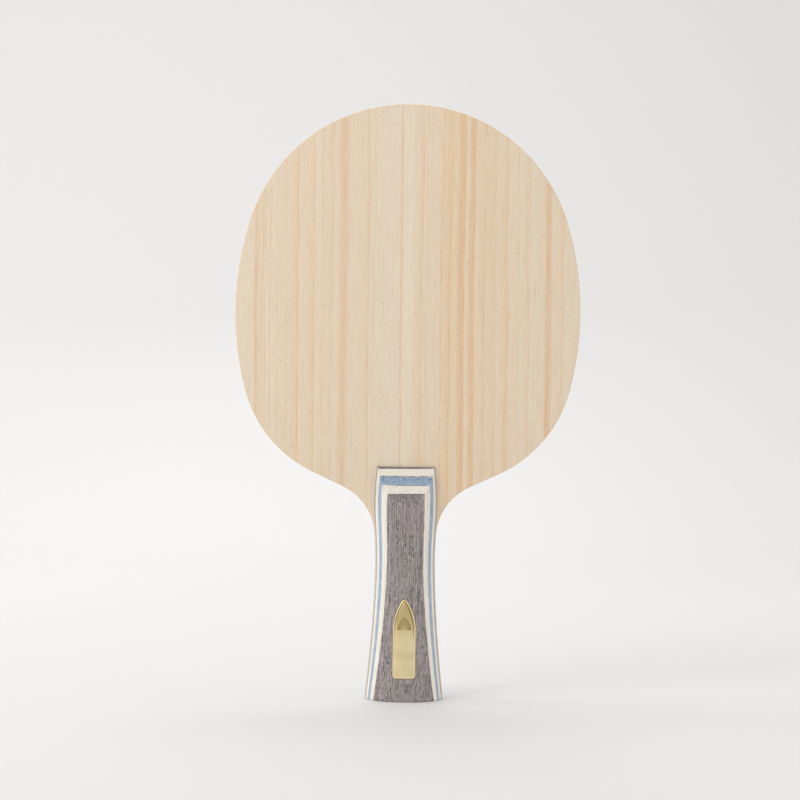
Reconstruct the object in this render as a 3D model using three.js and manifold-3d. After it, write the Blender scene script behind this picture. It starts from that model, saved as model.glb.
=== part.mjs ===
// A bare table tennis blade with a flared, laminated handle and a metal badge.
//
// The blade is seven plies glued face to face. They run full length, so that their
// narrow end is the tang inside the handle. A scale of five dyed and natural veneers
// is glued to each side of the tang, and a badge sits in a pocket in the front one.
//
// Millimetres. The origin is the centre of the handle's flat end, +Z runs up to the
// tip of the head, the front faces -Y and +X is to the right of someone facing it.

import * as THREE from 'three';
import { mergeVertices } from 'three/addons/utils/BufferGeometryUtils.js';
import Module from 'manifold-3d';

const wasm = await Module();
wasm.setup();

// ---- Blade ----

const bladeLength = 258.4;

// The edge of the head from the tip down one side, as arcs that run into each other.
// Angles are in degrees. The shoulder arc ends in a straight line to the hollow wing.
const headArcs = [
  { radius: 72.2, sweep: 72.5 },
  { radius: 132.4, sweep: 32.6 },
];
const shoulderRadius = 54.9;
const wingRadius = 24.6;
const wingFootHeight = 69.7;
const tangTopDrop = 2;
const arcStep = 2;

// Half of the core, then each ply outwards from it.
const coreHalfThickness = 1.4;
const innerVeneerThickness = 0.6;
const fibreThickness = 0.3;
const faceVeneerThickness = 0.6;

// ---- Handle ----

const handleLength = 100.8;
const waistHeight = 60;
const waistHalfWidth = 13.0;
const waistHalfDepth = 10.9;
const flareWidth = 4.2;
const flareDepth = 2.4;
const flareExponent = 1.7;
const shoulderHeight = 86;
const shoulderSwell = 1.15;
const shoulderDrop = 1.05;
const shoulderDropExponent = 1.6;
const shoulderDepthLoss = 0.25;
const sectionExponent = 2.1;

// Veneers of a scale, outwards from the blade. The crown takes what is left.
const scaleLayers = [
  { name: 'base_veneer', thickness: 1.55, colour: 0xa9a29e, roughness: 0.6 },
  { name: 'outer_cream_veneer', thickness: 1.41, colour: 0xece5dc, roughness: 0.55 },
  { name: 'blue_veneer', thickness: 1.53, colour: 0xa3b3bf, roughness: 0.55 },
  { name: 'inner_cream_veneer', thickness: 1.51, colour: 0xece5dc, roughness: 0.55 },
];
const crownColour = 0x8f8683;
const crownRoughness = 0.6;

// The top end of a scale is a short step off the blade, then a flat bevel.
const stepLean = 0.5;
const bevelAngle = 22;

// ---- Badge ----

const badgeHeight = 33.9;
const badgeHalfWidth = 4.93;
const badgeBottom = 10;
const badgeArchRadius = 24;
const badgeTipRadius = 1.1;
const badgeCornerRadius = 1.4;
const badgeProud = 0.15;
const badgeClearance = 0.15;
const pocketFloor = 9.8;
const padThickness = 0.2;

// ---- Mesh fineness ----

const scaleStations = 18;
const crownDivisions = 7;
const badgeArcDivisions = 6;
const overrun = 1;
const oversize = 20;

const right = new THREE.Vector3(1, 0, 0);
const back = new THREE.Vector3(0, 1, 0);
const front = new THREE.Vector3(0, -1, 0);
const up = new THREE.Vector3(0, 0, 1);

const bladeHalfThickness =
  coreHalfThickness + innerVeneerThickness + fibreThickness + faceVeneerThickness;

// ---- Solids ----

function toSolid(geometry) {
  const bare = geometry.clone();
  bare.deleteAttribute('normal');
  bare.deleteAttribute('uv');
  const merged = mergeVertices(bare, 1e-5);
  const mesh = new wasm.Mesh({
    numProp: 3,
    vertProperties: new Float32Array(merged.attributes.position.array),
    triVerts: new Uint32Array(merged.index.array),
  });
  return new wasm.Manifold(mesh);
}

function toGeometry(solid) {
  const mesh = solid.getMesh();
  const geometry = new THREE.BufferGeometry();
  geometry.setAttribute('position', new THREE.BufferAttribute(mesh.vertProperties, 3));
  geometry.setIndex(new THREE.BufferAttribute(mesh.triVerts, 1));
  return geometry;
}

// An outline in the X-Z plane, given thickness between two depths measured along Y.
function plate(shape, backY, frontY) {
  const geometry = new THREE.ExtrudeGeometry(shape, {
    depth: backY - frontY,
    bevelEnabled: false,
    curveSegments: badgeArcDivisions,
  });
  geometry.applyMatrix4(new THREE.Matrix4().makeBasis(right, up, front));
  geometry.translate(0, backY, 0);
  return geometry;
}

// A closed solid through sections of equal point count, listed upwards, each of
// them anticlockwise when looked down on.
function loft(sections) {
  const count = sections[0].length;
  const index = [];
  for (let ring = 0; ring < sections.length - 1; ring += 1) {
    for (let i = 0; i < count; i += 1) {
      const low = ring * count + i;
      const lowNext = ring * count + ((i + 1) % count);
      index.push(low, lowNext, lowNext + count);
      index.push(low, lowNext + count, low + count);
    }
  }
  const contour = sections[0].map((p) => new THREE.Vector2(p.x, p.y));
  const topStart = (sections.length - 1) * count;
  for (const [a, b, c] of THREE.ShapeUtils.triangulateShape(contour, [])) {
    index.push(c, b, a);
    index.push(topStart + a, topStart + b, topStart + c);
  }
  const geometry = new THREE.BufferGeometry().setFromPoints(sections.flat());
  geometry.setIndex(index);
  return geometry;
}

// ---- Handle form ----

function flare(z) {
  return Math.max(0, (waistHeight - z) / waistHeight) ** flareExponent;
}

// Half of the handle's width at the middle of the blade's thickness.
function handleHalfWidth(z) {
  if (z < waistHeight) {
    return waistHalfWidth + flareWidth * flare(z);
  }
  if (z < shoulderHeight) {
    return waistHalfWidth + shoulderSwell * THREE.MathUtils.smoothstep(z, waistHeight, shoulderHeight);
  }
  const past = (z - shoulderHeight) / (handleLength - shoulderHeight);
  return waistHalfWidth + shoulderSwell - shoulderDrop * past ** shoulderDropExponent;
}

// The height of the crown's crest above the middle of the blade's thickness.
function handleHalfDepth(z) {
  const narrowing = Math.max(0, (z - waistHeight) / (shoulderHeight - waistHeight));
  return waistHalfDepth + flareDepth * flare(z) - shoulderDepthLoss * narrowing;
}

// The handle's section is a superellipse: half of its width at the depth y.
function sectionHalfWidth(z, y) {
  const fraction = 1 - (Math.abs(y) / handleHalfDepth(z)) ** sectionExponent;
  return handleHalfWidth(z) * Math.max(0, fraction) ** (1 / sectionExponent);
}

// The depth of the same superellipse at the distance x from its axis.
function sectionDepth(z, x, proud) {
  const fraction = 1 - (Math.abs(x) / handleHalfWidth(z)) ** sectionExponent;
  return handleHalfDepth(z) * fraction ** (1 / sectionExponent) + proud;
}

function stations(top) {
  return Array.from({ length: scaleStations + 1 }, (_, i) => (top * i) / scaleStations);
}

// ---- Plies ----

function arcPoint(centre, radius, degrees) {
  const angle = THREE.MathUtils.degToRad(degrees);
  return new THREE.Vector2(radius * Math.cos(angle), radius * Math.sin(angle)).add(centre);
}

// Points along an arc without its last one. Angles run anticlockwise from +X.
function arcPoints(centre, radius, start, sweep) {
  const steps = Math.ceil(Math.abs(sweep) / arcStep);
  return Array.from({ length: steps }, (_, i) => arcPoint(centre, radius, start + (sweep * i) / steps));
}

// One side of the head from the tip down to the foot of the wing. The wing's hollow
// arc ends upright against the handle's side.
function headEdge(footX) {
  const points = [];
  let angle = 90;
  let centre = new THREE.Vector2(0, bladeLength - headArcs[0].radius);
  let radius = headArcs[0].radius;
  for (const arc of headArcs) {
    centre = arcPoint(centre, radius - arc.radius, angle);
    radius = arc.radius;
    points.push(...arcPoints(centre, radius, angle, -arc.sweep));
    angle -= arc.sweep;
  }

  centre = arcPoint(centre, radius - shoulderRadius, angle);
  const wingCentre = new THREE.Vector2(footX + wingRadius, wingFootHeight);
  const toWing = wingCentre.clone().sub(centre);
  const crossing = Math.acos((shoulderRadius + wingRadius) / toWing.length());
  const straight = THREE.MathUtils.radToDeg(Math.atan2(toWing.y, toWing.x) + crossing);
  points.push(...arcPoints(centre, shoulderRadius, angle, straight - angle));
  points.push(arcPoint(centre, shoulderRadius, straight));
  points.push(...arcPoints(wingCentre, wingRadius, straight + 180, -straight));
  return points;
}

// The outline of a ply whose outer face is at the depth y. Its tang is as wide as
// the handle's section is there, so that the tang's edges are flush with the scales.
function plyOutline(y) {
  const side = headEdge(sectionHalfWidth(wingFootHeight, y));
  for (const z of stations(handleLength).reverse()) {
    if (z < wingFootHeight - tangTopDrop) {
      side.push(new THREE.Vector2(sectionHalfWidth(z, y), z));
    }
  }
  const otherSide = side.slice(1).reverse().map((p) => new THREE.Vector2(-p.x, p.y));
  return new THREE.Shape([...side, ...otherSide]);
}

// ---- Scales ----

// One veneer of a scale before its top end is cut: facing is -1 for the front scale
// and 1 for the back one, and the veneer lies between two depths.
function scaleVeneer(facing, innerY, outerY) {
  const sections = stations(handleLength + overrun).map((z) => {
    const half = [];
    for (const y of [innerY, (innerY + outerY) / 2, outerY]) {
      half.push(new THREE.Vector3(sectionHalfWidth(z, y), facing * y, z));
    }
    return closeSection(half, facing);
  });
  return loft(sections);
}

// The crown, from its flat inner face over the crest.
function crownVeneer(facing, innerY) {
  const sections = stations(handleLength + overrun).map((z) => {
    const edge = sectionHalfWidth(z, innerY);
    const half = [];
    for (let i = 0; i <= crownDivisions; i += 1) {
      const x = edge * Math.cos((Math.PI / 2) * (i / crownDivisions));
      half.push(new THREE.Vector3(x, facing * sectionDepth(z, x, 0), z));
    }
    half[0].y = facing * innerY;
    half[crownDivisions].x = 0;
    return closeSection(half, facing);
  });
  return loft(sections);
}

// A whole section from its right half, which is listed outwards from the blade.
function closeSection(half, facing) {
  const left = half.filter((p) => p.x > 0).reverse().map((p) => new THREE.Vector3(-p.x, p.y, p.z));
  const section = [...half, ...left];
  return facing > 0 ? section : section.reverse();
}

// What a scale's top end leaves of it, seen from the side.
function endCutter(facing) {
  const bevelStart = bladeHalfThickness + scaleLayers[0].thickness;
  const fall = (oversize - bevelStart) / Math.tan(THREE.MathUtils.degToRad(bevelAngle));
  const shape = new THREE.Shape([
    new THREE.Vector2(0, -oversize),
    new THREE.Vector2(0, handleLength),
    new THREE.Vector2(facing * bladeHalfThickness, handleLength),
    new THREE.Vector2(facing * bevelStart, handleLength - stepLean),
    new THREE.Vector2(facing * oversize, handleLength - stepLean - fall),
    new THREE.Vector2(facing * oversize, -oversize),
  ]);
  const geometry = new THREE.ExtrudeGeometry(shape, { depth: 2 * oversize, bevelEnabled: false });
  geometry.applyMatrix4(new THREE.Matrix4().makeBasis(back, up, right));
  geometry.translate(-oversize, 0, 0);
  return toSolid(geometry);
}

// ---- Badge ----

// A pointed arch on a straight-sided body, made larger all round by grow.
function badgeOutline(grow) {
  const half = badgeHalfWidth + grow;
  const low = badgeBottom - grow;
  const tip = badgeTipRadius + grow;
  const arch = badgeArchRadius + grow;
  const corner = badgeCornerRadius + grow;
  const reach = arch - tip;
  const offset = arch - half;
  const rise = Math.sqrt(reach ** 2 - offset ** 2);
  const tipCentre = badgeBottom + badgeHeight - badgeTipRadius;
  const spring = tipCentre - rise;
  const turn = Math.atan2(rise, offset);
  const shape = new THREE.Shape();
  shape.moveTo(half - corner, low);
  shape.absarc(half - corner, low + corner, corner, -Math.PI / 2, 0, false);
  shape.absarc(half - arch, spring, arch, 0, turn, false);
  shape.absarc(0, tipCentre, tip, turn, Math.PI - turn, false);
  shape.absarc(arch - half, spring, arch, Math.PI - turn, Math.PI, false);
  shape.absarc(corner - half, low + corner, corner, Math.PI, (3 * Math.PI) / 2, false);
  return shape;
}

// The front crown's own curve, raised a little, as a solid that gives the badge its face.
function badgeFaceForm() {
  const reach = badgeHalfWidth + overrun;
  const sections = stations(badgeBottom + badgeHeight + overrun).map((z) => {
    const section = [];
    for (let i = crownDivisions; i >= -crownDivisions; i -= 1) {
      const x = (reach * i) / crownDivisions;
      section.push(new THREE.Vector3(x, -sectionDepth(z, x, badgeProud), z));
    }
    section.push(new THREE.Vector3(-reach, 0, z), new THREE.Vector3(reach, 0, z));
    return section.reverse();
  });
  return toSolid(loft(sections));
}

// ---- The assembly ----

const paddle = new THREE.Group();

function addPiece(name, geometry, colour, roughness, metalness = 0) {
  const material = new THREE.MeshStandardMaterial({ color: colour, roughness, metalness });
  const mesh = new THREE.Mesh(geometry, material);
  mesh.name = name;
  paddle.add(mesh);
}

function addPly(name, innerY, outerY, colour, roughness) {
  const outline = plyOutline(Math.max(Math.abs(innerY), Math.abs(outerY)));
  addPiece(name, plate(outline, Math.max(innerY, outerY), Math.min(innerY, outerY)), colour, roughness);
}

addPly('core_ply', -coreHalfThickness, coreHalfThickness, 0xdfcfae, 0.7);

for (const [side, facing] of [['front', -1], ['back', 1]]) {
  const veneerY = coreHalfThickness + innerVeneerThickness;
  const fibreY = veneerY + fibreThickness;
  addPly(`${side}_inner_veneer`, facing * coreHalfThickness, facing * veneerY, 0xd9bf97, 0.65);
  addPly(`${side}_fibre_layer`, facing * veneerY, facing * fibreY, 0x3b3f45, 0.45);
  addPly(`${side}_face_veneer`, facing * fibreY, facing * bladeHalfThickness, 0xdfcdb2, 0.6);

  const cutter = endCutter(facing);
  let depth = bladeHalfThickness;
  for (const layer of scaleLayers) {
    const outer = depth + layer.thickness;
    const solid = toSolid(scaleVeneer(facing, depth, outer)).intersect(cutter);
    addPiece(`${side}_handle_${layer.name}`, toGeometry(solid), layer.colour, layer.roughness);
    depth = outer;
  }

  let crown = toSolid(crownVeneer(facing, depth)).intersect(cutter);
  if (side === 'front') {
    crown = crown.subtract(toSolid(plate(badgeOutline(badgeClearance), -pocketFloor, -oversize)));
  }
  addPiece(`${side}_handle_crown`, toGeometry(crown), crownColour, crownRoughness);
}

const badgeBack = pocketFloor + padThickness;
addPiece('badge_adhesive_pad', plate(badgeOutline(0), -pocketFloor, -badgeBack), 0xf4f1ea, 0.8);
const badge = toSolid(plate(badgeOutline(0), -badgeBack, -oversize)).intersect(badgeFaceForm());
addPiece('badge', toGeometry(badge), 0xe5d19f, 0.3, 1);

export default paddle;
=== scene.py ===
"""A bare table tennis blade: seven glued plies, laminated handle scales and a metal badge."""

import math

import bmesh
import bpy
from bpy.props import FloatProperty, FloatVectorProperty, PointerProperty
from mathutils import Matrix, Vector, noise


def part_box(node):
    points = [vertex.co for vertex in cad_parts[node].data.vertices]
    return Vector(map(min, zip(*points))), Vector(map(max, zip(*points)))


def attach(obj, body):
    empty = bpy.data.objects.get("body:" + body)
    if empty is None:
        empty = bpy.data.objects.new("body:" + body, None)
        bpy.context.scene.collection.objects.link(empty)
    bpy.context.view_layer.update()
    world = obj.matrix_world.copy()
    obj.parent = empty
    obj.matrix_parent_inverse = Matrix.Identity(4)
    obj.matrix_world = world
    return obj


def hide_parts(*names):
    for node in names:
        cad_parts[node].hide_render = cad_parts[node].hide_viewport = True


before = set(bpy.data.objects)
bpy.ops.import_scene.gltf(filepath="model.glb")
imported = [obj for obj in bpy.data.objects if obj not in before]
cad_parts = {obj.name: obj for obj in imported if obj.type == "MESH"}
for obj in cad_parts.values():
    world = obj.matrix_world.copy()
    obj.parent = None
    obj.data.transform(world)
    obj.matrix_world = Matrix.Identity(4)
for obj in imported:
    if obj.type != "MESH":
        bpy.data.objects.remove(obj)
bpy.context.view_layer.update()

bl_info = {
    "name": "Table tennis blade",
    "version": (1, 0, 0),
    "blender": (4, 5, 0),
    "location": "3D View > Sidebar > Blade",
    "description": "Builds a bare table tennis blade with a laminated, flared handle",
    "category": "Add Mesh",
}

MM = 0.001


# ---- Reading the frame ----

def depth_range(node):
    """How far a node's near and far faces lie from the middle of the blade's thickness."""
    low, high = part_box(node)
    return tuple(sorted((abs(low.y), abs(high.y))))


CORE_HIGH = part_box("core_ply")[1]
BLADE_LENGTH = CORE_HIGH.z
CORE_DEPTH = CORE_HIGH.y
BLADE_DEPTH = depth_range("front_face_veneer")[1]
HANDLE_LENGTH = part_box("front_handle_base_veneer")[1].z
BEVEL_DEPTH = depth_range("front_handle_base_veneer")[1]
CROWN_DEPTH = depth_range("front_handle_crown")[0]
BEVEL_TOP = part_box("front_handle_outer_cream_veneer")[1].z
CROWN_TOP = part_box("front_handle_crown")[1].z
BEVEL_SLOPE = (CROWN_DEPTH - BEVEL_DEPTH) / (BEVEL_TOP - CROWN_TOP)
BADGE_LOW, BADGE_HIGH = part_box("badge")
BADGE_BACK = -BADGE_HIGH.y


# ---- Sizes and colours a user would change ----

def length(name, description, millimetres):
    """A length that a user can change, given in millimetres."""
    return FloatProperty(name=name, description=description, default=millimetres * MM,
                         subtype="DISTANCE", unit="LENGTH")


def angle(name, description, degrees):
    """An angle that a user can change, given in degrees."""
    return FloatProperty(name=name, description=description, default=math.radians(degrees),
                         subtype="ANGLE", unit="ROTATION")


def linear(code):
    """An sRGB hex colour as linear red, green and blue."""
    parts = [int(code[i:i + 2], 16) / 255 for i in (1, 3, 5)]
    return tuple(c / 12.92 if c <= 0.04045 else ((c + 0.055) / 1.055) ** 2.4 for c in parts)


def colour(name, description, code):
    """A colour that a user can change, given as an sRGB hex colour."""
    return FloatVectorProperty(name=name, description=description, default=linear(code),
                               subtype="COLOR", size=3, min=0, max=1)


class BladeSizes(bpy.types.PropertyGroup):
    """The head's outline, as arcs that run into each other from the tip to the handle."""

    tip_radius: length("Tip radius", "Radius of the head's edge round its tip", 72.2)
    tip_sweep: angle("Tip sweep", "Half of the angle that the tip arc covers", 72.5)
    side_radius: length("Side radius", "Radius of the long side arc", 132.4)
    side_sweep: angle("Side sweep", "Angle that the side arc covers", 32.6)
    shoulder_radius: length("Shoulder radius", "Radius where the head turns in", 54.9)
    wing_radius: length("Wing radius", "Radius of the hollow beside the handle", 24.6)
    wing_foot: length("Wing foot", "Height at which the wing meets the handle's side", 69.7)
    edge_radius: length("Edge radius", "Sanded rounding along the rim of the head", 0.35)


class HandleSizes(bpy.types.PropertyGroup):
    """The flared handle's plan and section."""

    waist_height: length("Waist height", "Height of the handle's narrowest place", 60)
    waist_width: length("Waist half width", "Half of the width at the waist", 13.0)
    waist_depth: length("Waist half depth", "Half of the thickness at the waist", 10.9)
    flare_width: length("Flare in width", "Growth of the half width from waist to end", 4.2)
    flare_depth: length("Flare in depth", "Growth of the half depth from waist to end", 2.4)
    shoulder_height: length("Shoulder height", "Height of the upper swelling", 86)
    shoulder_swell: length("Shoulder swell", "Growth of the half width at the swelling", 1.15)
    shoulder_drop: length("Shoulder drop", "Loss of half width from there to the top", 1.05)
    shoulder_thinning: length("Shoulder thinning", "Loss of half depth at the swelling", 0.25)
    end_radius: length("End radius", "Rounding along the edge of the flat end", 0.5)
    waviness: length("Waviness", "How far the glue lines wander", 0.09)


class BadgeSizes(bpy.types.PropertyGroup):
    """The badge's outline and relief."""

    arch_radius: length("Arch radius", "Radius of each side of the pointed arch", 24)
    tip_radius: length("Tip radius", "Rounding of the arch's tip", 1.1)
    corner_radius: length("Corner radius", "Rounding of the two lower corners", 1.4)
    clearance: length("Clearance", "Gap between the badge and its pocket", 0.15)
    proud: length("Proud", "How far the rim stands out of the crown", 0.15)


class FinishColours(bpy.types.PropertyGroup):
    """The colours of the plies, the veneers, the badge and the studio."""

    veneer: colour("Face veneer", "Pale wood of the head", "#E8D8C0")
    ring: colour("Growth ring", "Warm tone that builds up through each growth ring", "#E8C496")
    streak: colour("Streak", "Orange lines at the ends of the rings", "#DDA76F")
    flush: colour("Flush", "Pinkish tone of the broad bands", "#E8CBA8")
    fleck: colour("Fleck", "Pale rays and flecks in the face veneer", "#F3EAD8")
    blue_pore: colour("Blue pore", "Pores and cut fibres where the dye is darkest", "#47627F")
    tang_edge: colour("Tang edge", "Sealed edge of the plies beside the handle", "#CFC9C4")
    rim: colour("Sanded rim", "Face veneer where it is sanded through to the edge", "#E3BB8C")
    pore: colour("Pore", "Open pores in the face veneer", "#C08A54")
    grey: colour("Grey veneer", "Crown and base veneers of the handle", "#B2A8A6")
    grey_line: colour("Grey grain line", "Darker fibres of the grey veneer", "#7C7372")
    grey_pore: colour("Grey pore", "Open pores in the grey veneer", "#3F3D3B")
    blue: colour("Blue veneer", "Dyed veneer of the handle", "#A9B9C8")
    blue_cut: colour("Blue end grain", "Dyed veneer where its fibres are cut", "#9BB0C1")
    blue_line: colour("Blue grain line", "Darker fibres and pores of the dyed veneer", "#7E93A6")
    cream: colour("Cream veneer", "Bleached veneer of the handle", "#EDE7DB")
    cream_line: colour("Cream grain line", "Darker fibres of the bleached veneer", "#D8CDBA")
    # The bronze is blended in as painted shade low in the badge's relief, and also in random clouds.
    gold: colour("Badge gold", "Plated face of the badge", "#EFDDAF")
    bronze: colour("Badge bronze", "Deeper tone low in the badge's relief", "#A0894C")
    inner_wood: colour("Inner veneer", "Wood under the fibre layer", "#DCC39B")
    inner_line: colour("Inner grain line", "Darker grain of the inner veneer", "#C9A878")
    core_wood: colour("Core wood", "Light wood of the core", "#E6D7BA")
    core_line: colour("Core grain line", "Darker grain of the core", "#D2BA92")
    fibre: colour("Fibre", "Fibre layer where it catches the light", "#45494F")
    fibre_line: colour("Fibre shade", "Fibre layer between its strands", "#2E3136")
    foam: colour("Foam tape", "Adhesive pad under the badge", "#F6F4EE")
    foam_line: colour("Foam shade", "Cells of the adhesive pad", "#E4E0D6")
    cream_speck: colour("Cream speck", "Small specks in the bleached veneer", "#B5AA96")
    paper: colour("Backdrop", "Seamless paper behind and under the blade", "#D8D7D5")
    paper_tooth: colour("Backdrop tooth", "Trace of tooth in the paper", "#D2D1CF")
    sky: colour("Studio", "Light that the studio sends back from all round", "#FBFBFD")


SETTINGS = {
    "blade_sizes": BladeSizes,
    "handle_sizes": HandleSizes,
    "badge_sizes": BadgeSizes,
    "finish_colours": FinishColours,
}


# ---- Handle form ----

# How quickly the flare opens, how quickly the top narrows, and how square the section is:
# 2 is an ellipse.
FLARE_EXPONENT = 1.7
DROP_EXPONENT = 1.6
SECTION_EXPONENT = 2.1


def smooth(value, low, high):
    """0 below low and 1 above high, with an eased rise between them."""
    t = min(1, max(0, (value - low) / (high - low)))
    return t * t * (3 - 2 * t)


def end_relief(sizes, z):
    """How far the rounded edge of the flat end has drawn the section in at height z."""
    r = sizes.end_radius
    return r - math.sqrt(r * r - (r - z) ** 2) if z < r else 0


def half_width(sizes, z):
    """Half of the handle's width at the middle of the blade's thickness."""
    if z < sizes.waist_height:
        rise = (1 - z / sizes.waist_height) ** FLARE_EXPONENT
        return sizes.waist_width + sizes.flare_width * rise - end_relief(sizes, z)
    if z < sizes.shoulder_height:
        swell = smooth(z, sizes.waist_height, sizes.shoulder_height)
        return sizes.waist_width + sizes.shoulder_swell * swell
    past = (z - sizes.shoulder_height) / (HANDLE_LENGTH - sizes.shoulder_height)
    drop = sizes.shoulder_drop * past ** DROP_EXPONENT
    return sizes.waist_width + sizes.shoulder_swell - drop


def half_depth(sizes, z):
    """The crest's distance from the middle of the blade's thickness."""
    rise = max(0, 1 - z / sizes.waist_height) ** FLARE_EXPONENT
    past = max(0, (z - sizes.waist_height) / (sizes.shoulder_height - sizes.waist_height))
    return (sizes.waist_depth + sizes.flare_depth * rise - sizes.shoulder_thinning * past
            - end_relief(sizes, z))


def section_x(sizes, z, y):
    """Half of the superellipse section's width at the depth y."""
    rest = 1 - (abs(y) / half_depth(sizes, z)) ** SECTION_EXPONENT
    return half_width(sizes, z) * max(0, rest) ** (1 / SECTION_EXPONENT)


def section_y(sizes, z, x):
    """The section's depth at the distance x from its axis."""
    rest = 1 - (abs(x) / half_width(sizes, z)) ** SECTION_EXPONENT
    return half_depth(sizes, z) * max(0, rest) ** (1 / SECTION_EXPONENT)


def end_height(y):
    """The height at which a scale's top end cuts the depth y: a step, then the bevel."""
    if y < BEVEL_DEPTH:
        share = (y - BLADE_DEPTH) / (BEVEL_DEPTH - BLADE_DEPTH)
        return HANDLE_LENGTH + (BEVEL_TOP - HANDLE_LENGTH) * share
    return BEVEL_TOP - (y - BEVEL_DEPTH) / BEVEL_SLOPE


# ---- Meshes ----

# Edges bent by more than this many degrees are drawn sharp.
PLY_SHARP = 40
SCALE_SHARP = 30
BADGE_SHARP = 50


def turn_outwards(mesh):
    """Turns the faces of a closed mesh so that they all look outwards."""
    work = bmesh.new()
    work.from_mesh(mesh)
    bmesh.ops.recalc_face_normals(work, faces=work.faces)
    work.to_mesh(mesh)
    work.free()


def shade(mesh, sharp):
    """Shades a mesh smooth, with its bends above an angle in degrees kept sharp."""
    mesh.shade_smooth()
    mesh.set_sharp_from_angle(angle=math.radians(sharp))


def new_piece(name, points, faces, materials, node, sharp=PLY_SHARP, choose=None):
    """A mesh object that rides on the blade and stands for a node of the frame. Where it
    has more than one material, choose gives the material of each face."""
    mesh = bpy.data.meshes.new(name)
    mesh.from_pydata([tuple(p) for p in points], [], faces)
    for material in materials:
        mesh.materials.append(material)
    if choose:
        for polygon in mesh.polygons:
            polygon.material_index = choose(polygon.index)
    turn_outwards(mesh)
    shade(mesh, sharp)
    piece = bpy.data.objects.new(name, mesh)
    bpy.context.scene.collection.objects.link(piece)
    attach(piece, "root")
    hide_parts(node)
    return piece


def join_rings(count, rings, faces, closed=True):
    """Adds the quads between rings of equal point count, whose points follow each other."""
    for ring in range(rings - 1):
        for i in range(count if closed else count - 1):
            a, b = ring * count + i, ring * count + (i + 1) % count
            faces.append((a, b, b + count, a + count))


# ---- Plies ----

# Turn between two points of an arc, points down the tang's side, steps round the rim, and
# the rounding that is left where the rim runs out beside the handle.
ARC_STEP = math.radians(2)
TANG_POINTS = 44
RIM_STEPS = 4
LEAST_ROUNDING = 0.02 * MM


def arc_point(centre, radius, turn):
    """A point of an arc. Angles run anticlockwise from +X."""
    return Vector((centre[0] + radius * math.cos(turn), centre[1] + radius * math.sin(turn)))


def arc_points(centre, radius, start, sweep):
    """Points along an arc, without its last one."""
    steps = math.ceil(abs(sweep) / ARC_STEP)
    return [arc_point(centre, radius, start + sweep * i / steps) for i in range(steps)]


def rim_side(blade, handle, y):
    """The right side of a ply's outline at the depth y, from the tip to the flat end."""
    turn = math.pi / 2
    radius = blade.tip_radius
    centre = Vector((0, BLADE_LENGTH - radius))
    points = []
    for next_radius, sweep in ((blade.tip_radius, blade.tip_sweep),
                               (blade.side_radius, blade.side_sweep)):
        centre = arc_point(centre, radius - next_radius, turn)
        radius = next_radius
        points += arc_points(centre, radius, turn, -sweep)
        turn -= sweep
    centre = arc_point(centre, radius - blade.shoulder_radius, turn)
    foot = section_x(handle, blade.wing_foot, y)
    wing = Vector((foot + blade.wing_radius, blade.wing_foot))
    apart = wing - centre
    crossing = math.acos((blade.shoulder_radius + blade.wing_radius) / apart.length)
    straight = math.atan2(apart.y, apart.x) + crossing
    points += arc_points(centre, blade.shoulder_radius, turn, straight - turn)
    points.append(arc_point(centre, blade.shoulder_radius, straight))
    points += arc_points(wing, blade.wing_radius, straight + math.pi, -straight)
    for i in range(TANG_POINTS + 1):
        z = blade.wing_foot * math.cos(math.pi / 2 * i / TANG_POINTS)
        points.append(Vector((section_x(handle, z, y), z)))
    return points


def drawn_in(side, amounts):
    """A side moved inwards by an amount of its own at each point."""
    moved = []
    for i, (x, z) in enumerate(side):
        before = side[i - 1] if i else (-side[1][0], side[1][1])
        after = side[min(len(side) - 1, i + 1)]
        along = Vector((after[0] - before[0], after[1] - before[1])).normalized()
        moved.append((x + along.y * amounts[i], z - along.x * amounts[i]))
    moved[0] = (0, moved[0][1])
    moved[-1] = (moved[-1][0], side[-1][1])
    return moved


def ply_mesh(blade, handle, inner, outer, facing, rounded):
    """A ply from rings of its outline, its flat faces laddered between the two sides."""
    rings = [(inner, rim_side(blade, handle, inner))]
    if rounded:
        side = rim_side(blade, handle, outer)
        radii = [max(LEAST_ROUNDING, blade.edge_radius
                     * smooth(z, blade.wing_foot, blade.wing_foot + blade.wing_radius / 2))
                 for _, z in side]
        for k in range(RIM_STEPS + 1):
            bend = math.pi / 2 * k / RIM_STEPS
            ring = drawn_in(side, [r * (1 - math.cos(bend)) for r in radii])
            rings.append(([outer - r * (1 - math.sin(bend)) for r in radii], ring))
    else:
        rings.append(((inner + outer) / 2, rim_side(blade, handle, (inner + outer) / 2)))
        rings.append((outer, rim_side(blade, handle, outer)))
    points, faces = [], []
    for depth, side in rings:
        depths = depth if isinstance(depth, list) else [depth] * len(side)
        right = [Vector((x, facing * d, z)) for (x, z), d in zip(side, depths)]
        points += right + [Vector((-p.x, p.y, p.z)) for p in reversed(right[1:])]
    side_count = len(rings[0][1])
    count = 2 * side_count - 1
    join_rings(count, len(rings), faces)
    wall_faces = len(faces)
    for start in (0, (len(rings) - 1) * count):
        faces.append((start, start + 1, start + count - 1))
        for i in range(1, side_count - 1):
            faces.append((start + i, start + i + 1, start + count - i - 1, start + count - i))
    rounding = range(count, wall_faces) if rounded else ()
    return points, faces, rounding


PLIES = (
    ("inner_veneer", "inner_veneer_wood"),
    ("fibre_layer", "fibre_cloth"),
    ("face_veneer", "face_veneer_wood"),
)


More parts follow.
